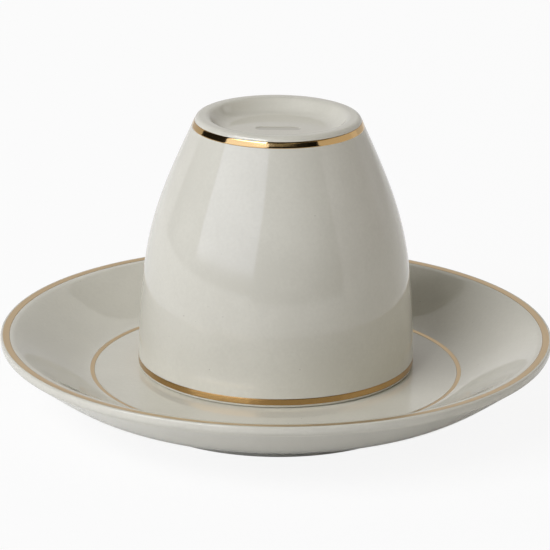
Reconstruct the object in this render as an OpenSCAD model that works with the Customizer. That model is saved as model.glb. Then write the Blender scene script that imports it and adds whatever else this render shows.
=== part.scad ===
// A small coffee cup without a handle, standing mouth down on its saucer.
// Both are cream glazed porcelain, with gold lines fired onto the glaze.
// The origin is the centre of the saucer's foot ring, on the surface that it stands on.
// The cup is drawn as it stands: its lip is at the bottom and its foot is at the top.

/* [Cup wall] */
// Outer diameter at the lip
mouth_d = 60.5; // [52:0.5:66]
// Height from the lip to the foot
cup_h = 56; // [48:1:66]
// Thickness of the wall
cup_wall = 2; // [1.6:0.1:2.6]
// Thickness of the bottom under the foot's recess
bottom_wall = 2.8; // [2.4:0.1:5]
// Lean of the wall at the lip, in degrees from upright
lip_lean = 1.4; // [0.2:0.2:3]
// Lean of the wall at the foot, in degrees from upright
foot_lean = 24.5; // [20:0.5:28]
// Height of the straight strip above the lip
lip_strip_h = 2.3; // [2.2:0.1:3.2]
// Radius that rounds both edges of the lip
lip_round = 0.6; // [0.3:0.05:0.75]
// Radius between the inside wall and the inside of the bottom
inside_round = 9; // [5:0.5:11]

/* [Cup foot] */
// Diameter where the wall's line meets the flat of the foot
foot_d = 35.2; // [33:0.2:38]
// Height of the straight strip under the foot's edge
foot_strip_h = 2.4; // [2.2:0.1:3.2]
// Radius of the foot's outer edge
foot_round = 1.2; // [0.6:0.1:1.5]
// Diameter of the recess in the foot, at its mouth
recess_d = 30.2; // [29.4:0.2:30.6]
// Diameter of the recess floor
recess_floor_d = 24.8; // [22:0.2:25]
// Depth of the recess
recess_depth = 2.9; // [2:0.1:3.2]
// Radius of the recess's edge
recess_round = 1.8; // [1:0.1:2]
// Radius between the recess's side and its floor
recess_blend = 4.5; // [1:0.5:6]
// Length of the plain pressed mark in the recess floor
mark_l = 9.6; // [6:0.2:14]
// Width of the mark
mark_w = 2.6; // [1.6:0.2:4]
// Depth of the mark
mark_depth = 0.2; // [0.1:0.05:0.4]

/* [Saucer] */
// Outer diameter of the rim
saucer_d = 120; // [112:1:136]
// Height from the surface to the top of the rim
saucer_h = 17.15; // [15.5:0.05:20]
// Height of the well's floor, where the cup stands
floor_h = 8.4; // [7.6:0.1:9]
// Width of the flat well all round a cup that stands in its middle
well_room = 9.05; // [8:0.05:10]
// Lean of the slope's foot, in degrees from level
well_lean = 10; // [7:0.5:16]
// Width of the straight strip at the slope's foot
well_strip_w = 1.5; // [1.5:0.1:2.4]
// Radius between the well and the slope's foot
well_round = 3; // [1:0.5:3.5]
// Lean of the slope under the rim, in degrees from level
rim_lean = 28.3; // [25:0.1:33]
// Width of the straight strip under the rim's top, inside
rim_strip_w = 1.1; // [1:0.1:2]
// Width of the rim's top, before its edges are rounded
rim_top_w = 2.9; // [2.8:0.1:3.4]
// Inward lean of the rim's top, in degrees from level
rim_top_lean = 5; // [2:0.5:8]
// Radius between the slope and the rim's top
rim_roll = 3; // [2:0.25:3]
// Height of the rim's outer edge, before it is rounded
rim_edge_h = 1.8; // [1.6:0.1:2.6]
// Radius of the rim's upper edge
rim_round = 0.45; // [0.3:0.05:0.5]
// Radius of the rim's lower edge
rim_under_round = 1.6; // [0.8:0.1:1.8]
// Lean of the underside at the rim, in degrees from level
under_lean = 36; // [32:0.5:40]
// Width of the straight strip of the underside at the rim
under_strip_w = 2.2; // [2.1:0.1:3]

/* [Saucer foot ring] */
// Outer diameter of the foot ring, on the surface
ring_d = 65.4; // [58:0.2:67]
// Width of the foot ring on the surface, before it is rounded
ring_w = 2.4; // [2:0.1:3.4]
// Widening of the ring from the surface to the underside, on each side
ring_flare = 0.5; // [0.2:0.1:1]
// Height of the hollow inside the ring
ring_hollow_h = 4.1; // [3:0.1:4.6]
// Height of the underside where it meets the ring from outside
ring_outer_h = 4.2; // [3.4:0.1:4.8]
// Radius of the ring's two edges on the surface
ring_round = 0.6; // [0.3:0.1:0.8]
// Radius where the ring's sides meet the underside
ring_blend = 1.4; // [0.6:0.1:1.6]
// Width of the level step round the ring, before the underside climbs
ring_step_w = 2.8; // [2.4:0.1:3.4]

/* [Gold lines] */
// Width of the line round the cup's lip
mouth_line_w = 1.4; // [0.8:0.1:1.5]
// Distance from the lip to that line
mouth_line_gap = 0.65; // [0.6:0.05:0.75]
// Width of the line round the cup's foot
foot_line_w = 1.45; // [0.8:0.05:1.6]
// Distance from the start of the foot's strip to that line
foot_line_gap = 0.15; // [0.05:0.05:0.25]
// Width of the line on top of the saucer's rim
rim_line_w = 1.5; // [0.8:0.05:1.5]
// Distance from the rim's rounded edge to that line
rim_line_gap = 0.05; // [0.05:0.05:0.1]
// Width of the line round the saucer's well
well_line_w = 0.95; // [0.7:0.05:1.05]
// Distance from the rounding at the slope's foot to that line
well_line_gap = 0.05; // [0.05:0.05:0.15]
// Depth of each gold line in the glaze
gold_depth = 0.2; // [0.1:0.05:0.3]
// Height of each gold line over the glaze
gold_rise = 0.03; // [0.02:0.01:0.06]

/* [Place of the cup] */
// Distance from the saucer's centre to the cup's centre, towards the back
cup_set_back = 4.5; // [0:0.1:4.8]
// Gap between the lip and the well's floor
seat_gap = 0.05; // [0.05:0.05:0.3]

/* [Hidden] */
$fn = 128;

// Steps along each long curve and round each edge
curve_steps = 20;
edge_steps = 6;
// Reach of each curve's two ends, as shares of the distance between them
wall_reach_shares = [0.49, 0.4];
inside_reach_shares = [0.42, 0.33];
slope_reach_shares = [0.26, 0.16];
under_reach_shares = [0.41, 0.41];
// How far before its corner the inside wall stops, as a share of the radius there
inside_end_share = 0.76;
// Angles of a line that points inward and of one that points up
inward = 180;
upward = 90;

mouth_r = mouth_d / 2;
foot_r = foot_d / 2;
recess_r = recess_d / 2;
recess_floor_r = recess_floor_d / 2;
recess_floor_h = cup_h - recess_depth;
inside_h = recess_floor_h - bottom_wall;
saucer_r = saucer_d / 2;
well_r = mouth_r + well_room;
ring_r = ring_d / 2;

// The ends of the cup's straight strips, outside and then inside
lip_point = [mouth_r, 0];
lip_strip_end = lip_point + lip_strip_h * [-tan(lip_lean), 1];
foot_point = [foot_r, cup_h];
foot_strip_start = foot_point + foot_strip_h * [tan(foot_lean), -1];
inside_lip_point = lip_point - [cup_wall / cos(lip_lean), 0];
inside_strip_end = inside_lip_point + lip_strip_h * [-tan(lip_lean), 1];
inside_corner = foot_point - [cup_wall / cos(foot_lean), 0] + (cup_h - inside_h) * [tan(foot_lean), -1];
inside_wall_end = inside_corner + inside_end_share * inside_round * [sin(foot_lean), -cos(foot_lean)];

// The corners of the slope and the rim before they are rounded, and the ends of their straight strips
well_point = [well_r, floor_h];
well_strip_end = well_point + well_strip_w * [1, tan(well_lean)];
rim_corner_h = saucer_h + rim_round * (tan((upward + rim_top_lean) / 2) - 1);
rim_point = [saucer_r, rim_corner_h];
rim_inner_point = rim_point - rim_top_w * [1, tan(rim_top_lean)];
rim_strip_start = rim_inner_point - rim_strip_w * [1, tan(rim_lean)];
rim_under_point = rim_point - [0, rim_edge_h];
under_end = rim_under_point - under_strip_w * [1, tan(under_lean)];
under_start = [ring_r + ring_flare + ring_step_w, ring_outer_h];

// A vector of length one
function unit(v) = v / norm(v);

// The point at a distance from one point towards another
function along(from, to, distance) = from + unit(to - from) * distance;

// A curve from one point to another that leaves at one angle and arrives at the other.
// Each reach says how far the curve keeps to the angle at that end.
function bend(from, angle_from, to, angle_to, reach_shares) =
    let (span = norm(to - from),
         b = from + span * reach_shares[0] * [cos(angle_from), sin(angle_from)],
         c = to - span * reach_shares[1] * [cos(angle_to), sin(angle_to)])
    [for (i = [0 : curve_steps]) let (t = i / curve_steps, s = 1 - t)
        s * s * s * from + 3 * s * s * t * b + 3 * s * t * t * c + t * t * t * to];

// An arc that rounds the corner at p, on the way from a to b
function corner_arc(a, p, b, radius) =
    let (u = unit(a - p),
         v = unit(b - p),
         half = acos(u * v) / 2,
         centre = p + unit(u + v) * radius / sin(half),
         first = p + u * radius / tan(half) - centre,
         last = p + v * radius / tan(half) - centre,
         side = sign(first.x * last.y - first.y * last.x),
         sweep = side * acos(unit(first) * unit(last)),
         start = atan2(first.y, first.x))
    [for (i = [0 : edge_steps]) let (w = start + sweep * i / edge_steps)
        centre + radius * [cos(w), sin(w)]];

// A closed outline whose corners [point, radius] are rounded where the radius isn't zero
function rounded(corners) =
    let (n = len(corners))
    [for (i = [0 : n - 1])
        each corners[i][1] > 0
            ? corner_arc(corners[(i + n - 1) % n][0], corners[i][0], corners[(i + 1) % n][0], corners[i][1])
            : [corners[i][0]]];

// Points that stay sharp in an outline
function plain(points) = [for (p = points) [p, 0]];

function reversed(points) = [for (i = [len(points) - 1 : -1 : 0]) points[i]];

// The cup's half section, from the lip over the foot to the inside
function cup_outline() = rounded(concat(
    [[inside_lip_point, lip_round], [lip_point, lip_round]],
    plain(bend(lip_strip_end, upward + lip_lean, foot_strip_start, upward + foot_lean, wall_reach_shares)),
    [[foot_point, foot_round],
     [[recess_r, cup_h], recess_round],
     [[recess_floor_r, recess_floor_h], recess_blend],
     [[0, recess_floor_h], 0],
     [[0, inside_h], 0],
     [inside_corner, inside_round]],
    plain(reversed(bend(inside_strip_end, upward + lip_lean,
                        inside_wall_end, upward + foot_lean, inside_reach_shares)))));

// The saucer's half section, from the well over the rim to the foot ring
function saucer_outline() = rounded(concat(
    [[[0, floor_h], 0], [well_point, well_round]],
    plain(bend(well_strip_end, well_lean, rim_strip_start, rim_lean, slope_reach_shares)),
    [[rim_inner_point, rim_roll], [rim_point, rim_round], [rim_under_point, rim_under_round]],
    plain(bend(under_end, inward + under_lean, under_start, inward, under_reach_shares)),
    [[[ring_r + ring_flare, ring_outer_h], ring_blend],
     [[ring_r, 0], ring_round],
     [[ring_r - ring_w, 0], ring_round],
     [[ring_r - ring_w - ring_flare, ring_hollow_h], ring_blend],
     [[0, ring_hollow_h], 0]]));

// The section of a gold line that lies on the straight from a to b, with the glaze on its left
function line_section(a, b) =
    let (d = unit(b - a),
         out = gold_rise * [d.y, -d.x],
         in = gold_depth * [-d.y, d.x])
    [a + out, b + out, b + in, a + in];

// Lifts a piece of the cup to its place on the saucer
module on_saucer() {
    translate([0, cup_set_back, floor_h + seat_gap]) children();
}

module mouth_line() {
    start = along(lip_point, lip_strip_end, mouth_line_gap);
    rotate_extrude() polygon(line_section(start, along(start, lip_strip_end, mouth_line_w)));
}

module foot_line() {
    start = along(foot_strip_start, foot_point, foot_line_gap);
    rotate_extrude() polygon(line_section(start, along(start, foot_point, foot_line_w)));
}

// A long shape with round ends, lying along X
module mark_shape() {
    straight = mark_l - mark_w;
    square([straight, mark_w], center = true);
    for (side = [-1, 1]) translate([side * straight / 2, 0]) circle(d = mark_w);
}

module cup_body() {
    color([0.83, 0.82, 0.78]) on_saucer() difference() {
        rotate_extrude() polygon(cup_outline());
        mouth_line();
        foot_line();
        translate([0, 0, recess_floor_h - mark_depth]) linear_extrude(recess_depth) mark_shape();
    }
}

module cup_mouth_line() {
    color([0.69, 0.53, 0.28]) on_saucer() mouth_line();
}

module cup_foot_line() {
    color([0.78, 0.6, 0.33]) on_saucer() foot_line();
}

// The saucer's lines are drawn from outside inwards, which keeps the glaze on their left
module saucer_rim_line() {
    edge_length = rim_round * tan((upward + rim_top_lean) / 2);
    start = along(rim_point, rim_inner_point, edge_length + rim_line_gap);
    finish = along(start, rim_inner_point, rim_line_w);
    color([0.75, 0.64, 0.48]) rotate_extrude() polygon(line_section(start, finish));
}

module saucer_well_line() {
    edge_length = well_round * tan(well_lean / 2);
    finish = along(well_point, well_strip_end, edge_length + well_line_gap);
    start = along(finish, well_strip_end, well_line_w);
    color([0.7, 0.61, 0.48]) rotate_extrude() polygon(line_section(start, finish));
}

module saucer_body() {
    color([0.81, 0.8, 0.76]) difference() {
        rotate_extrude() polygon(saucer_outline());
        saucer_rim_line();
        saucer_well_line();
    }
}

cup_body();
cup_foot_line();
cup_mouth_line();
saucer_body();
saucer_rim_line();
saucer_well_line();
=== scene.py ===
"""A small porcelain coffee cup standing mouth down on its saucer, in a plain studio.

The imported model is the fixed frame. Each turned piece is worked out again as a smooth
surface round its own axis, inside the box of the CAD node that it stands for.
Sizes are in millimetres up to the last step, which puts a mesh into metres.
"""

from __future__ import annotations

import logging
import math
from dataclasses import dataclass, field
from enum import Enum
from typing import Any, Mapping, Sequence, Union

import bpy
import numpy as np
from mathutils import Matrix, Vector


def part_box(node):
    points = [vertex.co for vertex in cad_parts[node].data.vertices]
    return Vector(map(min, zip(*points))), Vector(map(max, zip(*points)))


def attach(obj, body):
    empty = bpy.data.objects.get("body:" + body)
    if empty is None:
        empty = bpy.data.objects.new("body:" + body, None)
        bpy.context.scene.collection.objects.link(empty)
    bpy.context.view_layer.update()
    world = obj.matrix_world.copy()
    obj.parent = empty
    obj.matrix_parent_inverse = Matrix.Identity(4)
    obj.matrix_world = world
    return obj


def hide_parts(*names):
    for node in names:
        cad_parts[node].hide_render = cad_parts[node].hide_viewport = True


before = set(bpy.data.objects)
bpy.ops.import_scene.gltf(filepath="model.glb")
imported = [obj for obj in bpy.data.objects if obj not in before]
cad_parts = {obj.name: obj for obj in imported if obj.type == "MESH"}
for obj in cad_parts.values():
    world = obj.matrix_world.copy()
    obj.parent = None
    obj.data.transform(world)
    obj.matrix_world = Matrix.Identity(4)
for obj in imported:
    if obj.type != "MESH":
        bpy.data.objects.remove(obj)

LOG = logging.getLogger("cup_and_saucer")
MM = 0.001
Colour = tuple[float, float, float]
# Points of an outline that are nearer than this are one point, in millimetres
SAME_POINT = 1e-6
# A point this near to a level face lies on it, in millimetres
ON_FACE = 0.01
# Height of the middle of the object, from which the studio's elevations are seen, in metres
MIDDLE_HEIGHT = 0.03
# A Mix node's share, its two colours and its mixed colour, by socket number
MIX_SHARE, MIX_FIRST, MIX_SECOND, MIX_RESULT = 0, 6, 7, 2


# Outlines


def bend(start: np.ndarray, start_angle: float, end: np.ndarray, end_angle: float,
         reach_shares: tuple[float, float], steps: int) -> np.ndarray:
    """Draws a smooth curve that leaves at one angle and arrives at another.

    The curve is the cubic s^3 a + 3 s^2 t b + 3 s t^2 c + t^3 d with s = 1 - t, where b
    lies ahead of the start a, and c lies behind the end d, by a share of their distance.

    Args:
        start: First point, as (radius, height).
        start_angle: Direction at the start, in degrees from outwards.
        end: Last point.
        end_angle: Direction at the end, in degrees.
        reach_shares: How far b and c lie from the ends, as shares of their distance.
        steps: Number of points.

    Returns:
        The points, one row each.
    """
    span = np.hypot(*(end - start))
    ahead = start + span * reach_shares[0] * heading(start_angle)
    behind = end - span * reach_shares[1] * heading(end_angle)
    t = np.linspace(0.0, 1.0, steps)[:, None]
    s = 1.0 - t
    return s**3 * start + 3 * s**2 * t * ahead + 3 * s * t**2 * behind + t**3 * end


def heading(angle: float) -> np.ndarray:
    """Gives the unit vector at an angle, in degrees from outwards towards up."""
    return np.array([math.cos(math.radians(angle)), math.sin(math.radians(angle))])


def lean_step(lean: float) -> np.ndarray:
    """Gives the way to the next millimetre of radius, up a line that leans by some degrees."""
    return np.array([1.0, math.tan(math.radians(lean))])


def straight(start: np.ndarray, end: np.ndarray, steps: int) -> np.ndarray:
    """Gives evenly spaced points from start to end: start + t (end - start)."""
    return start + np.linspace(0.0, 1.0, steps)[:, None] * (end - start)


def corner_arc(before: np.ndarray, corner: np.ndarray, after: np.ndarray,
               radius: float, steps: int) -> np.ndarray:
    """Rounds a corner with an arc that touches both of its sides.

    With u and v the unit vectors from the corner to its neighbours and h half the angle
    between them, the centre lies radius / sin h along u + v, and the arc starts and
    ends radius / tan h along u and v.

    Args:
        before: The point before the corner.
        corner: The corner.
        after: The point after it.
        radius: Radius of the arc.
        steps: Number of points.

    Returns:
        The arc's points, on the way from before to after.
    """
    u = (before - corner) / np.hypot(*(before - corner))
    v = (after - corner) / np.hypot(*(after - corner))
    half = math.acos(float(u @ v)) / 2
    middle = (u + v) / np.hypot(*(u + v))
    centre = corner + middle * radius / math.sin(half)
    first = corner + u * radius / math.tan(half) - centre
    last = corner + v * radius / math.tan(half) - centre
    turn = math.acos(float(first @ last) / radius**2)
    side = math.copysign(1.0, first[0] * last[1] - first[1] * last[0])
    angles = math.atan2(first[1], first[0]) + side * np.linspace(0.0, turn, steps)
    return centre + radius * np.column_stack([np.cos(angles), np.sin(angles)])


def joined(*stretches: np.ndarray) -> np.ndarray:
    """Joins stretches of an outline and leaves out points that repeat the one before."""
    points = np.vstack(stretches)
    apart = np.hypot(*np.diff(points, axis=0).T) > SAME_POINT
    return points[np.concatenate([[True], apart])]


# Turned meshes


@dataclass(frozen=True)
class Axis:
    """The upright axis that a piece is turned round, in millimetres."""

    x: float
    y: float


def turn_outline(outline: np.ndarray, axis: Axis, sides: int) -> np.ndarray:
    """Turns an outline round an axis on a grid of angle and place along the outline.

    The point at radius r, height z and angle w is (x0 + r cos w, y0 + r sin w, z). Angles
    are evenly spaced and don't repeat the first one.

    Args:
        outline: Points (radius, height) that run downwards on the outside.
        axis: The axis.
        sides: Number of angles.

    Returns:
        The grid's points, one row each, ring by ring down the outline.
    """
    angles = np.linspace(0.0, 2 * math.pi, sides, endpoint=False)
    radius, height = outline[:, :1], outline[:, 1:]
    grid = np.stack([axis.x + radius * np.cos(angles), axis.y + radius * np.sin(angles),
                     height + 0.0 * angles], axis=-1)
    return grid.reshape(-1, 3)


def ring_faces(rings: int, sides: int, looped: bool = False) -> np.ndarray:
    """Numbers the four corners of each face between neighbouring rings of a grid.

    Args:
        rings: Number of rings.
        sides: Points in each ring.
        looped: Whether the last ring joins the first.

    Returns:
        One row of four point numbers for each face, outward side first.
    """
    ring = np.arange(rings if looped else rings - 1)[:, None]
    side = np.arange(sides)[None, :]
    following = (ring + 1) % rings
    beside = (side + 1) % sides
    around = [ring * sides + side, following * sides + side,
              following * sides + beside, ring * sides + beside]
    return np.stack(around, axis=-1).reshape(-1, 4)


def make_piece(name: str, points: np.ndarray, faces: Sequence[Sequence[int]],
               material: bpy.types.Material) -> bpy.types.Object:
    """Puts points in millimetres and faces into a smooth mesh object at the origin.

    Args:
        name: Name of the piece.
        points: Its points, one row each.
        faces: Point numbers of each face.
        material: Its finish.

    Returns:
        The object.
    """
    mesh = bpy.data.meshes.new(name)
    mesh.from_pydata((points * MM).tolist(), [], faces)
    mesh.validate()
    mesh.shade_smooth()
    mesh.materials.append(material)
    piece = bpy.data.objects.new(name, mesh)
    bpy.context.scene.collection.objects.link(piece)
    LOG.info("%s: %d points, %d faces", name, len(mesh.vertices), len(mesh.polygons))
    return piece


def turned_solid(outline: np.ndarray, axis: Axis,
                 sides: int) -> tuple[np.ndarray, list[list[int]]]:
    """Turns an outline that starts and ends on its axis into a closed solid.

    Each end is closed by a fan of three-cornered faces round one point on the axis.

    Args:
        outline: Points (radius, height), on the axis at both ends.
        axis: The axis.
        sides: Points in each ring.

    Returns:
        The solid's points, one row each, and the point numbers of each face.
    """
    rings = len(outline) - 2
    tips = np.array([[axis.x, axis.y, outline[0, 1]], [axis.x, axis.y, outline[-1, 1]]])
    points = np.vstack([turn_outline(outline[1:-1], axis, sides), tips])
    side = np.arange(sides)
    beside = (side + 1) % sides
    top, bottom = rings * sides, rings * sides + 1
    last_ring = (rings - 1) * sides
    top_fan = np.column_stack([np.full(sides, top), side, beside])
    bottom_fan = np.column_stack([np.full(sides, bottom), last_ring + beside, last_ring + side])
    return points, ring_faces(rings, sides).tolist() + top_fan.tolist() + bottom_fan.tolist()


def turned_ring(name: str, section: np.ndarray, axis: Axis, sides: int,
                material: bpy.types.Material) -> bpy.types.Object:
    """Makes a closed ring from a closed section, with a map along and across it.

    The map's u is the distance along the ring in millimetres, and v is the distance
    along the section as a share of its whole way round.

    Args:
        name: Name of the piece.
        section: Points (radius, height) of the closed section, in turning order.
        axis: The axis.
        sides: Points in each ring.
        material: The finish.

    Returns:
        The object.
    """
    faces = ring_faces(len(section), sides, looped=True)
    piece = make_piece(name, turn_outline(section, axis, sides), faces.tolist(), material)
    steps = np.hypot(*np.diff(np.vstack([section, section[:1]]), axis=0).T)
    across = np.concatenate([[0.0], np.cumsum(steps)]) / steps.sum()
    length = 2 * math.pi * section[:, 0].mean()
    ring = np.arange(len(section))[:, None, None]
    side = np.arange(sides)[None, :, None]
    u = (side + np.array([0, 0, 1, 1])) / sides * length + 0.0 * ring
    v = across[ring + np.array([0, 1, 1, 0])] + 0.0 * side
    layer = piece.data.uv_layers.new(name="along_and_across")
    layer.data.foreach_set("uv", np.stack([u, v], axis=-1).astype(np.float32).ravel())
    return piece


# Shader maths

Number = Union[float, "Value"]


class Value:
    """A shader number or colour that adds Math nodes when it is used in an expression."""

    def __init__(self, sheet: "Sheet", socket: Union[bpy.types.NodeSocket, None]) -> None:
        """Keeps the socket and the sheet of nodes that it belongs to."""
        self.sheet = sheet
        self.socket = socket

    def _maths(self, operation: str, *operands: Number) -> "Value":
        """Adds one Math node.

        Args:
            operation: The node's operation.
            operands: Its inputs, in order.

        Returns:
            The node's result.
        """
        sockets = dict(enumerate(operands))
        return self.sheet.node("ShaderNodeMath", {"operation": operation}, sockets)

    def __add__(self, other: Number) -> "Value":
        """Adds."""
        return self._maths("ADD", self, other)

    __radd__ = __add__

    def __sub__(self, other: Number) -> "Value":
        """Subtracts."""
        return self._maths("SUBTRACT", self, other)

    def __rsub__(self, other: Number) -> "Value":
        """Subtracts this from a plain number."""
        return self._maths("SUBTRACT", other, self)

    def __mul__(self, other: Number) -> "Value":
        """Multiplies."""
        return self._maths("MULTIPLY", self, other)

    __rmul__ = __mul__

    def __abs__(self) -> "Value":
        """Drops the sign."""
        return self._maths("ABSOLUTE", self)

    def larger(self, other: Number) -> "Value":
        """Gives the larger of the two."""
        return self._maths("MAXIMUM", self, other)

    def smooth(self, start: float, end: float) -> "Value":
        """Eases from 0 at start to 1 at end."""
        return self.sheet.node(
            "ShaderNodeMapRange", {"interpolation_type": "SMOOTHSTEP"},
            {"Value": self, "From Min": start, "From Max": end, "To Min": 0.0, "To Max": 1.0})


class Sheet:
    """The nodes of one material or of the world."""

    def __init__(self, owner: bpy.types.ID) -> None:
        """Empties the owner's nodes.

        Args:
            owner: The material or world.
        """
        owner.use_nodes = True
        self.tree = owner.node_tree
        self.tree.nodes.clear()

    def node(self, kind: str, settings: Mapping[str, Any], sockets: Mapping[Union[str, int], Any],
             result: Union[str, int] = 0) -> Value:
        """Adds any node.

        Args:
            kind: The node's type.
            settings: What is set on the node before its sockets.
            sockets: Values or links by socket name or number.
            result: Which output to give back.

        Returns:
            The chosen output, or nothing to link where the node has none.
        """
        made = self.tree.nodes.new(kind)
        for key, value in settings.items():
            setattr(made, key, value)
        for key, value in sockets.items():
            if isinstance(value, Value):
                self.tree.links.new(value.socket, made.inputs[key])
            else:
                made.inputs[key].default_value = value
        return Value(self, made.outputs[result]) if made.outputs else Value(self, None)

    def blend(self, share: Number, first: Any, second: Any) -> Value:
        """Mixes two colours.

        Args:
            share: 0 for the first colour, 1 for the second.
            first: Colour as three numbers or a value.
            second: The other colour.

        Returns:
            The mixed colour.
        """
        return self.node("ShaderNodeMix", {"data_type": "RGBA"}, {
            MIX_SHARE: share, MIX_FIRST: self.colour(first), MIX_SECOND: self.colour(second),
        }, MIX_RESULT)

    def noise(self, place: Value, spots: float, detail: float, fine_share: float = 0.55) -> Value:
        """Gives soft random values about 0.5.

        Args:
            place: Where on the surface.
            spots: How many spots lie along a metre or unit of place.
            detail: How many times spots of half the size are added.
            fine_share: How strong each finer layer is beside the one before.

        Returns:
            The values.
        """
        return self.node("ShaderNodeTexNoise", {}, {
            "Vector": place, "Scale": spots, "Detail": detail, "Roughness": fine_share})

    def bump(self, height: Value, rise: float = 1.0) -> Value:
        """Tilts the surface as a relief whose height 1 stands for a number of metres."""
        return self.node("ShaderNodeBump", {}, {
            "Height": height, "Strength": 1.0, "Distance": rise})

    @staticmethod
    def colour(value: Any) -> Any:
        """Gives a plain colour its fourth number and leaves a linked one as it is."""
        return value if isinstance(value, Value) else (*value, 1.0)

    def close(self, shader: Value, target: str = "ShaderNodeOutputMaterial") -> None:
        """Joins the finished shader to the output."""
        self.node(target, {}, {"Surface": shader})


# Finishes


@dataclass(frozen=True)
class Glaze:
    """Glossy cream porcelain glaze with faint clouds and fine specks.

    Below the height bare_below, in millimetres, the body is unglazed.
    """

    name: str
    body: Colour = (0.700, 0.679, 0.587)
    cloud: Colour = (0.662, 0.641, 0.551)
    speck: Colour = (0.36, 0.33, 0.28)
    bare: Colour = (0.66, 0.63, 0.57)
    clouds_per_metre: float = 55.0
    grains_per_metre: float = 1400.0
    cloud_share: float = 0.7
    cloud_edges: tuple[float, float] = (0.35, 0.65)
    specks_per_metre: float = 360.0
    speckless_share: float = 0.35
    speck_size: float = 0.07
    speck_strength: float = 0.6
    mark_tint: float = 0.45
    roughness: float = 0.03
    refraction: float = 1.5
    bare_below: float = -1.0
    bare_edge: float = 0.05
    bare_roughness: float = 0.5
    ripples_per_metre: float = 90.0
    ripple_height: float = 4.0e-6
    peel_per_metre: float = 1100.0
    peel_height: float = 3.0e-7

    def material(self) -> bpy.types.Material:
        """Builds the node material.

        Returns:
            A glossy surface whose colour, roughness and relief follow the object's own
            coordinates, darker where the attribute in_mark says so.
        """
        made = bpy.data.materials.new(self.name)
        sheet = Sheet(made)
        place = sheet.node("ShaderNodeTexCoord", {}, {}, "Object")
        clouds = sheet.noise(place, self.clouds_per_metre, detail=3.0)
        grains = sheet.noise(place, self.grains_per_metre, detail=1.0)
        cloudy = clouds * self.cloud_share + grains * (1 - self.cloud_share)
        colour = sheet.blend(cloudy.smooth(*self.cloud_edges), self.body, self.cloud)
        # One random number for each cell tells whether it has a speck, and how large
        cell = {"Vector": place, "Scale": self.specks_per_metre, "Randomness": 1.0}
        distance = sheet.node("ShaderNodeTexVoronoi", {}, cell)
        chance = sheet.node("ShaderNodeTexVoronoi", {}, cell, "Color")
        chance = sheet.node("ShaderNodeSeparateColor", {}, {0: chance})
        size = chance.smooth(self.speckless_share, 1.0) * self.speck_size
        specks = (size - distance).smooth(0.0, self.speck_size / 2) * self.speck_strength
        mark = sheet.node("ShaderNodeAttribute", {"attribute_name": "in_mark"}, {}, "Fac")
        colour = sheet.blend(specks.larger(mark * self.mark_tint), colour, self.speck)
        height = sheet.node("ShaderNodeSeparateXYZ", {}, {0: place}, "Z")
        edge = self.bare_edge * MM
        unglazed = (self.bare_below * MM - height).smooth(-edge, edge)
        ripples = sheet.noise(place, self.ripples_per_metre, detail=1.0) * self.ripple_height
        peel = sheet.noise(place, self.peel_per_metre, detail=1.0) * self.peel_height
        surface = sheet.node("ShaderNodeBsdfPrincipled", {}, {
            "Base Color": sheet.blend(unglazed, colour, self.bare),
            "Roughness": unglazed * self.bare_roughness + self.roughness,
            "IOR": self.refraction,
            "Normal": sheet.bump(ripples + peel),
        })
        sheet.close(surface)
        return made


@dataclass(frozen=True)
class GoldLine:
    """Fired-on gold, brushed along the line and browner at its edges."""

    name: str
    gold: Colour
    streak: Colour
    edge: Colour
    roughness: float
    edge_share: float = 0.12
    edge_roughness: float = 0.15
    streaks_along: float = 0.05
    streaks_across: float = 40.0
    streak_edges: tuple[float, float] = (0.3, 0.7)
    streak_roughness: float = 0.08
    streak_height: float = 1.0e-6

    def material(self) -> bpy.types.Material:
        """Builds the node material.

        Returns:
            A metal surface whose streaks follow the map along and across the line.
        """
        made = bpy.data.materials.new(self.name)
        sheet = Sheet(made)
        place = sheet.node("ShaderNodeUVMap", {"uv_map": "along_and_across"}, {})
        along = sheet.node("ShaderNodeSeparateXYZ", {}, {0: place}, "X")
        across = sheet.node("ShaderNodeSeparateXYZ", {}, {0: place}, "Y")
        stretched = sheet.node("ShaderNodeCombineXYZ", {}, {
            0: along * self.streaks_along, 1: across * self.streaks_across})
        streaks = sheet.noise(stretched, spots=1.0, detail=3.0)
        colour = sheet.blend(streaks.smooth(*self.streak_edges), self.gold, self.streak)
        # The outer face takes the first half of the way round, so this runs from -1 to 1 over it
        from_middle = abs(across * 4.0 - 1.0)
        rim = from_middle.smooth(1.0 - 2 * self.edge_share, 1.0)
        surface = sheet.node("ShaderNodeBsdfPrincipled", {}, {
            "Base Color": sheet.blend(rim, colour, self.edge),
            "Metallic": 1.0,
            "Roughness": (streaks * self.streak_roughness + rim * self.edge_roughness
                          + self.roughness),
            "Normal": sheet.bump(streaks, self.streak_height),
        })
        sheet.close(surface)
        return made


@dataclass(frozen=True)
class Glow:
    """How a screen glows: evenly, or easing in between two heights, in metres."""

    light: Colour
    starts: tuple[float, float] = (-2.0, -1.0)
    is_lamp: bool = False

    def material(self, name: str) -> bpy.types.Material:
        """Builds the glowing material, black under the first height.

        Args:
            name: Name of the material.

        Returns:
            The material.
        """
        made = bpy.data.materials.new(name)
        sheet = Sheet(made)
        place = sheet.node("ShaderNodeTexCoord", {}, {}, "Object")
        height = sheet.node("ShaderNodeSeparateXYZ", {}, {0: place}, "Z")
        glow = sheet.blend(height.smooth(*self.starts), (0.0, 0.0, 0.0), self.light)
        sheet.close(sheet.node("ShaderNodeEmission", {}, {"Color": glow, "Strength": 1.0}))
        made.cycles.emission_sampling = "FRONT" if self.is_lamp else "NONE"
        return made


class Slot(Enum):
    """The record's material slots."""

    GLAZE = "cream_glaze"
    CUP_GOLD = "cup_gold"
    SAUCER_GOLD = "saucer_gold"


# Pieces


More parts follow.
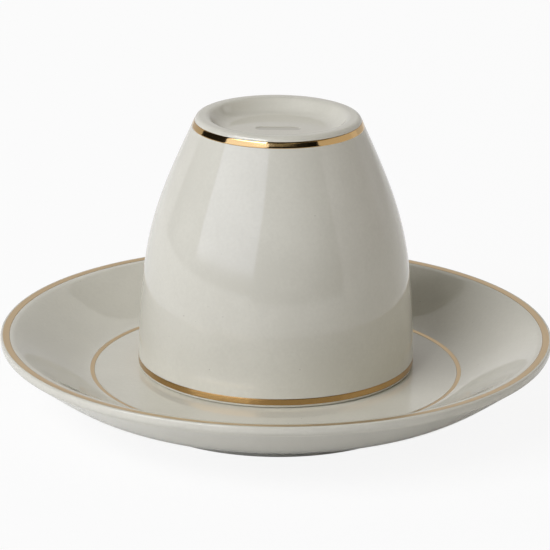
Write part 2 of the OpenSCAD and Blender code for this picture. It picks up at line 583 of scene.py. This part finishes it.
@dataclass(frozen=True)
class Seat:
    """Where a turned CAD node stands, read from its box, in millimetres."""

    axis: Axis
    bottom: float
    top: float
    radius: float

    @classmethod
    def of(cls, node: str) -> "Seat":
        """Reads the seat of a node.

        Args:
            node: The CAD node's name.

        Returns:
            Its axis, heights and outer radius.
        """
        low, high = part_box(node)
        axis = Axis((low.x + high.x) / 2 / MM, (low.y + high.y) / 2 / MM)
        return cls(axis, low.z / MM, high.z / MM, (high.x - low.x) / 2 / MM)


def dress(piece: bpy.types.Object, body: str, slot: Slot, *nodes: str) -> None:
    """Puts a piece on its body and hides the CAD nodes that it stands for.

    Args:
        piece: The piece.
        body: The CAD body that it rides on.
        slot: The record's material slot. Not used.
        nodes: The CAD nodes that it replaces.
    """
    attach(piece, body)
    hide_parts(*nodes)


def line_section(start: np.ndarray, end: np.ndarray, rise: float, depth: float,
                 steps: int) -> np.ndarray:
    """Draws the closed section of a gold line that lies on a straight of the glaze.

    The outer side is rise (1 - q^8) over the straight, with q from -1 to 1 across it, and
    the inner side lies evenly under it, so the edges end on the glaze.

    Args:
        start: Where the outer side starts, on the glaze.
        end: Where it ends, with the glaze on the right.
        rise: Height of the middle over the glaze.
        depth: Depth of the inner side under it.
        steps: Points on each side.

    Returns:
        The section's points in turning order, outer side first.
    """
    along = (end - start) / np.hypot(*(end - start))
    out = np.array([-along[1], along[0]])
    q = np.linspace(-1.0, 1.0, steps)[:, None]
    outer = straight(start, end, steps) + out * rise * (1 - q**8)
    inner = straight(end, start, steps) - out * depth
    return np.vstack([outer, inner])


@dataclass
class Cup:
    """The cup and its two gold lines, foot up."""

    wall: float = 2.0
    bottom_wall: float = 2.8
    lip_lean: float = 1.4
    foot_lean: float = 24.5
    lip_strip_h: float = 2.3
    lip_round: float = 0.6
    foot_r: float = 17.6
    foot_strip_h: float = 2.4
    foot_round: float = 1.2
    inside_round: float = 9.0
    inside_end_share: float = 0.76
    recess_r: float = 15.1
    recess_floor_r: float = 12.4
    recess_depth: float = 2.9
    recess_round: float = 1.8
    recess_blend: float = 4.5
    mark_length: float = 9.6
    mark_width: float = 2.6
    mark_depth: float = 0.2
    mark_edge: float = 0.2
    wall_reach_shares: tuple[float, float] = (0.49, 0.4)
    inside_reach_shares: tuple[float, float] = (0.42, 0.33)
    mouth_line_gap: float = 0.65
    mouth_line_w: float = 1.4
    foot_line_gap: float = 0.15
    foot_line_w: float = 1.45
    line_rise: float = 0.03
    line_depth: float = 0.1
    line_steps: int = 10
    mark_steps: int = 44
    recess_floor_steps: int = 5
    recess_steps: int = 18
    edge_steps: int = 14
    strip_steps: int = 6
    wall_steps: int = 60
    lip_steps: int = 10
    inside_lip_steps: int = 8
    inside_steps: int = 36
    inside_floor_steps: int = 8
    sides: int = 384
    seat: Seat = field(default_factory=lambda: Seat.of("cup_body"))

    def point(self, radius: float, height: float) -> np.ndarray:
        """Gives a point of the outline from its height over the lip."""
        return np.array([radius, self.seat.bottom + height])

    def landmarks(self) -> None:
        """Works out the ends of the straight strips, outside and inside, from the frame."""
        tall = self.seat.top - self.seat.bottom
        lip_run = math.tan(math.radians(self.lip_lean))
        foot_run = math.tan(math.radians(self.foot_lean))
        inside_lip_r = self.seat.radius - self.wall / math.cos(math.radians(self.lip_lean))
        inside_foot_r = self.foot_r - self.wall / math.cos(math.radians(self.foot_lean))
        floor = tall - self.recess_depth
        inside = floor - self.bottom_wall
        corner_r = inside_foot_r + (tall - inside) * foot_run
        self.lip = self.point(self.seat.radius, 0)
        self.lip_end = self.point(self.seat.radius - self.lip_strip_h * lip_run, self.lip_strip_h)
        self.foot_start = self.point(self.foot_r + self.foot_strip_h * foot_run,
                                     tall - self.foot_strip_h)
        self.foot = self.point(self.foot_r, tall)
        self.recess_edge = self.point(self.recess_r, tall)
        self.recess_corner = self.point(self.recess_floor_r, floor)
        self.recess_middle = self.point(0, floor)
        self.inside_middle = self.point(0, inside)
        self.inside_corner = self.point(corner_r, inside)
        end_reach = self.inside_end_share * self.inside_round
        self.inside_end = self.inside_corner - end_reach * heading(90 + self.foot_lean)
        self.inside_start = self.point(inside_lip_r - self.lip_strip_h * lip_run, self.lip_strip_h)
        self.inside_lip = self.point(inside_lip_r, 0)

    def outline(self) -> np.ndarray:
        """Draws the half section, from the recess over the foot and down the wall.

        Returns:
            Points (radius, height), on the axis at both ends.
        """
        wall = bend(self.foot_start, -90 + self.foot_lean, self.lip_end, -90 + self.lip_lean,
                    self.wall_reach_shares[::-1], self.wall_steps)
        inside = bend(self.inside_start, 90 + self.lip_lean, self.inside_end, 90 + self.foot_lean,
                      self.inside_reach_shares, self.inside_steps)
        mark_end = self.recess_middle + np.array([self.mark_length / 2 + self.mark_edge, 0.0])
        recess = corner_arc(self.recess_middle, self.recess_corner, self.recess_edge,
                            self.recess_blend, self.recess_steps)
        edge = corner_arc(self.recess_corner, self.recess_edge, self.foot,
                          self.recess_round, self.edge_steps)
        foot = corner_arc(self.recess_edge, self.foot, self.foot_start,
                          self.foot_round, self.edge_steps)
        lip = corner_arc(self.lip_end, self.lip, self.inside_lip, self.lip_round, self.lip_steps)
        inner_lip = corner_arc(self.lip, self.inside_lip, self.inside_start,
                               self.lip_round, self.inside_lip_steps)
        inner_corner = corner_arc(self.inside_end, self.inside_corner, self.inside_middle,
                                  self.inside_round, self.edge_steps)
        return joined(
            straight(self.recess_middle, mark_end, self.mark_steps),
            straight(mark_end, recess[0], self.recess_floor_steps), recess, edge, foot,
            straight(foot[-1], self.foot_start, self.strip_steps), wall,
            straight(self.lip_end, lip[0], self.strip_steps), lip, inner_lip, inside,
            inner_corner, straight(inner_corner[-1], self.inside_middle, self.inside_floor_steps))

    def mark_shares(self, points: np.ndarray) -> np.ndarray:
        """Tells how far each point lies in the mark on the recess floor.

        With d the distance outside a bar with round ends, the share is 1 - smoothstep(d)
        over the width of the mark's edge, and 0 off the floor.

        Args:
            points: The turned points, before the mark is pressed.

        Returns:
            One share for each point.
        """
        on_floor = np.abs(points[:, 2] - self.recess_corner[1]) < ON_FACE
        half_straight = (self.mark_length - self.mark_width) / 2
        x = points[:, 0] - self.seat.axis.x
        y = points[:, 1] - self.seat.axis.y
        beyond = np.maximum(np.abs(x) - half_straight, 0.0)
        outside = np.hypot(beyond, y) - self.mark_width / 2
        t = np.clip(outside / self.mark_edge + 0.5, 0.0, 1.0)
        return on_floor * (1 - t * t * (3 - 2 * t))

    def build(self, glaze: bpy.types.Material, foot_gold: bpy.types.Material,
              lip_gold: bpy.types.Material) -> None:
        """Makes the cup, with its plain mark pressed into the recess floor, and its lines.

        Args:
            glaze: Finish of the porcelain.
            foot_gold: Finish of the line round the foot.
            lip_gold: Finish of the line round the lip.
        """
        self.landmarks()
        points, faces = turned_solid(self.outline(), self.seat.axis, self.sides)
        in_mark = self.mark_shares(points)
        points[:, 2] -= self.mark_depth * in_mark
        body = make_piece("cup_porcelain", points, faces, glaze)
        layer = body.data.attributes.new("in_mark", "FLOAT", "POINT")
        layer.data.foreach_set("value", in_mark.astype(np.float32))
        dress(body, "cup", Slot.GLAZE, "cup_body")
        up = (self.lip_end - self.lip) / np.hypot(*(self.lip_end - self.lip))
        low = self.lip + up * self.mouth_line_gap
        self.line("cup_gold_at_lip", low + up * self.mouth_line_w, low, lip_gold, "cup_mouth_line")
        up = (self.foot - self.foot_start) / np.hypot(*(self.foot - self.foot_start))
        low = self.foot_start + up * self.foot_line_gap
        self.line("cup_gold_at_foot", low + up * self.foot_line_w, low, foot_gold, "cup_foot_line")

    def line(self, name: str, top: np.ndarray, low: np.ndarray, gold: bpy.types.Material,
             node: str) -> None:
        """Makes one gold line.

        Args:
            name: Name of the piece.
            top: Upper edge of the line on the glaze.
            low: Lower edge.
            gold: The finish.
            node: The CAD node that it stands for.
        """
        section = line_section(top, low, self.line_rise, self.line_depth, self.line_steps)
        ring = turned_ring(name, section, self.seat.axis, self.sides, gold)
        dress(ring, "cup", Slot.CUP_GOLD, node)


@dataclass
class Saucer:
    """The saucer and its two gold lines."""

    floor_h: float = 8.4
    well_r: float = 39.3
    well_lean: float = 10.0
    well_strip_w: float = 1.5
    well_round: float = 3.0
    rim_lean: float = 28.3
    rim_strip_w: float = 1.1
    rim_top_w: float = 2.9
    rim_top_lean: float = 5.0
    rim_roll: float = 3.0
    rim_edge_h: float = 1.8
    rim_round: float = 0.45
    rim_under_round: float = 1.6
    under_lean: float = 36.0
    under_strip_w: float = 2.2
    ring_r: float = 32.7
    ring_w: float = 2.4
    ring_flare: float = 0.5
    ring_hollow_h: float = 4.1
    ring_outer_h: float = 4.2
    ring_round: float = 0.6
    ring_blend: float = 1.4
    ring_step_w: float = 2.8
    slope_reach_shares: tuple[float, float] = (0.26, 0.16)
    under_reach_shares: tuple[float, float] = (0.41, 0.41)
    rim_line_gap: float = 0.05
    rim_line_w: float = 1.5
    well_line_gap: float = 0.05
    well_line_w: float = 0.95
    line_rise: float = 0.03
    line_depth: float = 0.1
    line_steps: int = 10
    well_flat_steps: int = 4
    well_steps: int = 6
    strip_steps: int = 3
    slope_steps: int = 42
    rim_strip_steps: int = 2
    roll_steps: int = 12
    rim_steps: int = 9
    rim_under_steps: int = 8
    under_steps: int = 22
    ring_steps: int = 5
    sides: int = 720
    seat: Seat = field(default_factory=lambda: Seat.of("saucer_body"))

    def landmarks(self) -> None:
        """Works out the corners of the slope and the rim, and where their strips end."""
        self.well_edge = np.array([self.well_r, self.floor_h])
        self.slope_start = self.well_edge + self.well_strip_w * lean_step(self.well_lean)
        self.rim_edge_length = self.rim_round * math.tan(
            math.radians((90 + self.rim_top_lean) / 2))
        self.rim = np.array([self.seat.radius,
                             self.seat.top + self.rim_edge_length - self.rim_round])
        self.rim_inner = self.rim - self.rim_top_w * lean_step(self.rim_top_lean)
        self.rim_start = self.rim_inner - self.rim_strip_w * lean_step(self.rim_lean)
        self.under = self.rim - np.array([0, self.rim_edge_h])
        self.under_end = self.under - self.under_strip_w * lean_step(self.under_lean)
        self.under_start = np.array([self.ring_r + self.ring_flare + self.ring_step_w,
                                     self.ring_outer_h])

    def outline(self) -> np.ndarray:
        """Draws the half section, from the well over the rim and down to the foot ring.

        Returns:
            Points (radius, height), on the axis at both ends.
        """
        inner_r = self.ring_r - self.ring_w
        outer_top = np.array([self.ring_r + self.ring_flare, self.ring_outer_h])
        outer_low = np.array([self.ring_r, 0.0])
        inner_low = np.array([inner_r, 0.0])
        inner_top = np.array([inner_r - self.ring_flare, self.ring_hollow_h])
        hollow_middle = np.array([0.0, self.ring_hollow_h])
        well_middle = np.array([0.0, self.floor_h])
        well = corner_arc(well_middle, self.well_edge, self.slope_start,
                          self.well_round, self.well_steps)
        slope = bend(self.slope_start, self.well_lean, self.rim_start, self.rim_lean,
                     self.slope_reach_shares, self.slope_steps)
        roll = corner_arc(self.rim_start, self.rim_inner, self.rim, self.rim_roll, self.roll_steps)
        rim = corner_arc(self.rim_inner, self.rim, self.under, self.rim_round, self.rim_steps)
        rim_under = corner_arc(self.rim, self.under, self.under_end,
                               self.rim_under_round, self.rim_under_steps)
        under = bend(self.under_end, 180 + self.under_lean, self.under_start, 180,
                     self.under_reach_shares, self.under_steps)
        outer_blend = corner_arc(self.under_start, outer_top, outer_low,
                                 self.ring_blend, self.ring_steps)
        outer_edge = corner_arc(outer_top, outer_low, inner_low, self.ring_round, self.ring_steps)
        inner_edge = corner_arc(outer_low, inner_low, inner_top, self.ring_round, self.ring_steps)
        inner_blend = corner_arc(inner_low, inner_top, hollow_middle,
                                 self.ring_blend, self.ring_steps)
        return joined(
            straight(well_middle, well[0], self.well_flat_steps), well,
            straight(well[-1], self.slope_start, self.strip_steps), slope,
            straight(self.rim_start, roll[0], self.rim_strip_steps), roll,
            straight(roll[-1], rim[0], self.strip_steps), rim, rim_under,
            straight(rim_under[-1], self.under_end, self.strip_steps), under, outer_blend,
            outer_edge, inner_edge, inner_blend,
            straight(inner_blend[-1], hollow_middle, self.strip_steps))

    def build(self, glaze: bpy.types.Material, gold: bpy.types.Material) -> None:
        """Makes the saucer and its lines.

        Args:
            glaze: Finish of the porcelain.
            gold: Finish of the lines.
        """
        self.landmarks()
        points, faces = turned_solid(self.outline(), self.seat.axis, self.sides)
        body = make_piece("saucer_porcelain", points, faces, glaze)
        dress(body, "saucer", Slot.GLAZE, "saucer_body")
        out = heading(self.rim_top_lean)
        outer = self.rim - out * (self.rim_edge_length + self.rim_line_gap)
        inner = outer - out * self.rim_line_w
        self.line("saucer_gold_at_rim", inner, outer, gold, "saucer_rim_line")
        out = heading(self.well_lean)
        edge_length = self.well_round * math.tan(math.radians(self.well_lean / 2))
        inner = self.well_edge + out * (edge_length + self.well_line_gap)
        outer = inner + out * self.well_line_w
        self.line("saucer_gold_at_well", inner, outer, gold, "saucer_well_line")

    def line(self, name: str, inner: np.ndarray, outer: np.ndarray, gold: bpy.types.Material,
             node: str) -> None:
        """Makes one gold line.

        Args:
            name: Name of the piece.
            inner: Edge of the line nearer to the axis.
            outer: The other edge.
            gold: The finish.
            node: The CAD node that it stands for.
        """
        section = line_section(inner, outer, self.line_rise, self.line_depth, self.line_steps)
        ring = turned_ring(name, section, self.seat.axis, self.sides, gold)
        dress(ring, "saucer", Slot.SAUCER_GOLD, node)


# Studio


@dataclass(frozen=True)
class Screen:
    """A curved upright screen round the table, unseen by the camera.

    Its reach is given in degrees as the object sees it: azimuth to the right of the
    camera, and elevation over the table.
    """

    name: str
    from_azimuth: float
    to_azimuth: float
    from_elevation: float
    to_elevation: float
    glow: Glow
    radius: float = 1.35
    columns: int = 24
    top_turn: float = 0.0

    def build(self) -> None:
        """Makes the screen, with the first end of its upper edge turned by top_turn.

        Its point at azimuth a and elevation e is (r sin a, -r cos a, h + r tan e), with h
        the height of the object's middle. The lowest screens stand on the floor.
        """
        edges = []
        for first, elevation in ((self.from_azimuth, self.from_elevation),
                                 (self.from_azimuth + self.top_turn, self.to_elevation)):
            angles = np.radians(np.linspace(first, self.to_azimuth, self.columns + 1))
            height = max(0.0, MIDDLE_HEIGHT + self.radius * math.tan(math.radians(elevation)))
            edges.append(np.column_stack([
                self.radius * np.sin(angles), -self.radius * np.cos(angles),
                np.full(len(angles), height)]))
        points = np.vstack(edges)
        step = np.arange(self.columns)
        over = step + self.columns + 1
        faces = np.column_stack([step, over, over + 1, step + 1])
        hang(self.name, points, faces.tolist(), self.glow)


@dataclass(frozen=True)
class Card:
    """A flat upright screen that faces the object, unseen by the camera.

    Its middle is given as an azimuth and a distance, its ends as azimuths, and its upper
    edge as the elevation at which its middle is seen.
    """

    name: str
    middle_azimuth: float
    from_azimuth: float
    to_azimuth: float
    top_elevation: float
    glow: Glow
    distance: float = 0.8

    def build(self) -> None:
        """Makes the card as one face that stands on the floor.

        The end at azimuth a lies at d / cos(a - m) from the middle of the table, with d the
        card's distance and m the azimuth of its middle.
        """
        top = MIDDLE_HEIGHT + self.distance * math.tan(math.radians(self.top_elevation))
        ends = []
        for azimuth in (self.from_azimuth, self.to_azimuth):
            away = self.distance / math.cos(math.radians(azimuth - self.middle_azimuth))
            angle = math.radians(azimuth)
            ends.append((away * math.sin(angle), -away * math.cos(angle)))
        points = np.array([(*end, height) for height in (0.0, top) for end in ends])
        hang(self.name, points, [[0, 2, 3, 1]], self.glow)


@dataclass(frozen=True)
class Canopy:
    """A round flat screen over the table."""

    glow: Glow
    name: str = "screen_top"
    radius: float = 1.35
    height: float = 2.37
    sides: int = 48

    def build(self) -> None:
        """Makes the canopy as one round face that looks down."""
        angles = -np.linspace(0.0, 2 * math.pi, self.sides, endpoint=False)
        points = np.column_stack([self.radius * np.cos(angles), self.radius * np.sin(angles),
                                  np.full(self.sides, self.height)])
        hang(self.name, points, [list(range(self.sides))], self.glow)


def hang(name: str, points: np.ndarray, faces: Sequence[Sequence[int]], glow: Glow) -> None:
    """Puts up a glowing screen that the camera doesn't see.

    Args:
        name: Name of the screen.
        points: Its points in metres.
        faces: Point numbers of each face.
        glow: How it glows.
    """
    screen = make_piece(name, points / MM, faces, glow.material(name))
    screen.visible_camera = False


@dataclass
class Studio:
    """The floor, the screens and the camera."""

    floor_radius: float = 1.35
    floor_sides: int = 96
    floor_colour: Colour = (0.9, 0.9, 0.895)
    floor_glow: float = 0.9
    floor_fill: float = 0.22
    fill_reach: tuple[float, float] = (-0.055, 0.0)
    mirrored_share: float = 0.68
    shadow_share: float = 0.08
    shadow_reach: tuple[float, float] = (0.062, 0.080)
    backdrop: Colour = (0.965, 0.965, 0.960)
    world_fill: Colour = (0.02, 0.02, 0.02)
    camera_distance: float = 0.700
    camera_lens: float = 211.07
    camera_elevation: float = 18.10
    camera_roll: float = 0.6
    camera_aim: tuple[float, float, float] = (-0.00035, 0.0, 0.02974)
    camera_range: tuple[float, float] = (0.05, 20.0)
    # A screen's name, azimuths from and to, elevations from and to, and glow. A card has the
    # azimuth of its middle before the two of its ends, and only an upper elevation.
    screens: tuple[Union[Screen, Card, Canopy], ...] = (
        Screen("screen_softbox", -75.5, -6, -3, 34.5,
               Glow((1.60, 1.68, 2.05), (0.07, 0.22), is_lamp=True)),
        Screen("screen_key", -75.5, -17.5, 34.5, 48.5, Glow((9.4, 9.4, 9.4), is_lamp=True)),
        Screen("screen_key_top", -75.5, -17.5, 48.5, 60, Glow((1.2, 1.2, 1.2), is_lamp=True)),
        Screen("screen_front_low", -21.5, 57.5, -4, 35, Glow((0.01, 0.01, 0.01)),
               radius=0.52, top_turn=9.0),
        Screen("screen_front_high", -17.5, 57.5, 35, 60, Glow((0.01, 0.01, 0.01))),
        Screen("screen_right", 57.5, 115, -3, 30, Glow((0.76, 0.73, 0.73))),
        Screen("screen_right_high", 57.5, 115, 30, 60, Glow((0.31, 0.26, 0.18))),
        Screen("screen_far_right", 115, 128, -3, 40, Glow((0.86, 0.84, 0.86))),
        Screen("screen_far_right_high", 115, 128, 40, 60, Glow((0.33, 0.33, 0.32))),
        Card("card_back", 191, 128, 240, 46.0, Glow((0.67, 0.66, 0.66)), distance=0.6),
        Screen("screen_back_high", 128, 240, -3, 60, Glow((0.12, 0.12, 0.12))),
        Screen("screen_left", 240, 284.5, -3, 60, Glow((0.02, 0.02, 0.02))),
        Canopy(Glow((0.24, 0.24, 0.23))),
    )

    @staticmethod
    def shown_rays(sheet: Sheet, mirrored_share: Number) -> Value:
        """Tells how much of its own white the background shows to each kind of ray.

        Args:
            sheet: The nodes of the floor or of the world.
            mirrored_share: How much it shows where it is mirrored.

        Returns:
            1 for rays from the camera or through glass, the share for mirrored ones, else 0.
        """
        path = {name: sheet.node("ShaderNodeLightPath", {}, {}, name)
                for name in ("Is Camera Ray", "Is Glossy Ray", "Is Transmission Ray")}
        mirrored = path["Is Glossy Ray"] * mirrored_share
        return path["Is Camera Ray"].larger(mirrored).larger(path["Is Transmission Ray"])

    def build_world(self) -> None:
        """Makes a world that is white where it is seen and a low even fill elsewhere."""
        world = bpy.data.worlds.new("studio_world")
        bpy.context.scene.world = world
        sheet = Sheet(world)
        fill, white = (
            sheet.node("ShaderNodeBackground", {}, {"Color": (*colour, 1.0), "Strength": 1.0})
            for colour in (self.world_fill, self.backdrop))
        shown = self.shown_rays(sheet, self.mirrored_share)
        sheet.close(sheet.node("ShaderNodeMixShader", {}, {0: shown, 1: fill, 2: white}),
                    "ShaderNodeOutputWorld")

    def build_floor(self) -> None:
        """Makes a round pale floor that keeps a faint shadow and is open from below.

        Seen in a mirror, it is darker round the saucer, where its contact shadow lies. On
        the left, a small glow stands in for light that the floor throws up.
        """
        made = bpy.data.materials.new("studio_floor")
        sheet = Sheet(made)
        matt = sheet.node("ShaderNodeBsdfDiffuse", {}, {"Color": (*self.floor_colour, 1.0)})
        glow = sheet.node("ShaderNodeEmission", {}, {
            "Color": (1.0, 1.0, 1.0, 1.0), "Strength": 1.0})
        place = sheet.node("ShaderNodeTexCoord", {}, {}, "Object")
        away = sheet.node("ShaderNodeVectorMath", {"operation": "LENGTH"}, {0: place}, 1)
        clear_of_shadow = away.smooth(*self.shadow_reach)
        mirrored = clear_of_shadow * (self.mirrored_share - self.shadow_share) + self.shadow_share
        side = sheet.node("ShaderNodeSeparateXYZ", {}, {0: place}, "X")
        fill = (1.0 - side.smooth(*self.fill_reach)) * self.floor_fill
        shown = (self.shown_rays(sheet, mirrored) * self.floor_glow).larger(fill)
        top = sheet.node("ShaderNodeMixShader", {}, {0: shown, 1: matt, 2: glow})
        back = sheet.node("ShaderNodeNewGeometry", {}, {}, "Backfacing")
        clear = sheet.node("ShaderNodeBsdfTransparent", {}, {})
        sheet.close(sheet.node("ShaderNodeMixShader", {}, {0: back, 1: top, 2: clear}))
        made.cycles.emission_sampling = "NONE"
        angles = np.linspace(0.0, 2 * math.pi, self.floor_sides, endpoint=False)
        circle = np.column_stack([np.cos(angles), np.sin(angles), 0 * angles])
        points = self.floor_radius / MM * circle
        make_piece("studio_floor", points, [list(range(self.floor_sides))], made)

    def build_camera(self) -> None:
        """Places the camera by its distance, elevation and roll round the point it aims at."""
        data = bpy.data.cameras.new("camera")
        data.lens = self.camera_lens
        data.clip_start, data.clip_end = self.camera_range
        camera = bpy.data.objects.new("camera", data)
        bpy.context.scene.collection.objects.link(camera)
        elevation = math.radians(self.camera_elevation)
        back = Vector((0.0, -math.cos(elevation), math.sin(elevation)))
        turn = (-back).to_track_quat("-Z", "Y").to_matrix().to_4x4()
        roll = Matrix.Rotation(math.radians(self.camera_roll), 4, "Z")
        place = Matrix.Translation(Vector(self.camera_aim) + back * self.camera_distance)
        camera.matrix_world = place @ turn @ roll
        bpy.context.scene.camera = camera

    def build(self) -> None:
        """Builds the whole studio."""
        bpy.context.scene.view_settings.view_transform = "Standard"
        self.build_camera()
        self.build_world()
        self.build_floor()
        for screen in self.screens:
            screen.build()


def main() -> None:
    logging.basicConfig(level=logging.INFO, format="%(name)s: %(message)s")
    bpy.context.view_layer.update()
    Studio().build()
    foot_gold = GoldLine("cup_gold_foot", gold=(0.62, 0.43, 0.19), streak=(0.56, 0.36, 0.15),
                         edge=(0.38, 0.23, 0.09), roughness=0.04)
    lip_gold = GoldLine("cup_gold_lip", gold=(0.56, 0.36, 0.15), streak=(0.48, 0.29, 0.11),
                        edge=(0.20, 0.11, 0.04), roughness=0.2)
    saucer_gold = GoldLine("saucer_gold", gold=(0.73, 0.55, 0.325), streak=(0.66, 0.49, 0.28),
                           edge=(0.46, 0.33, 0.18), roughness=0.3)
    Cup().build(Glaze("cup_glaze").material(), foot_gold.material(), lip_gold.material())
    Saucer().build(Glaze("saucer_glaze", bare_below=0.3).material(), saucer_gold.material())


if __name__ == "__main__":
    main()
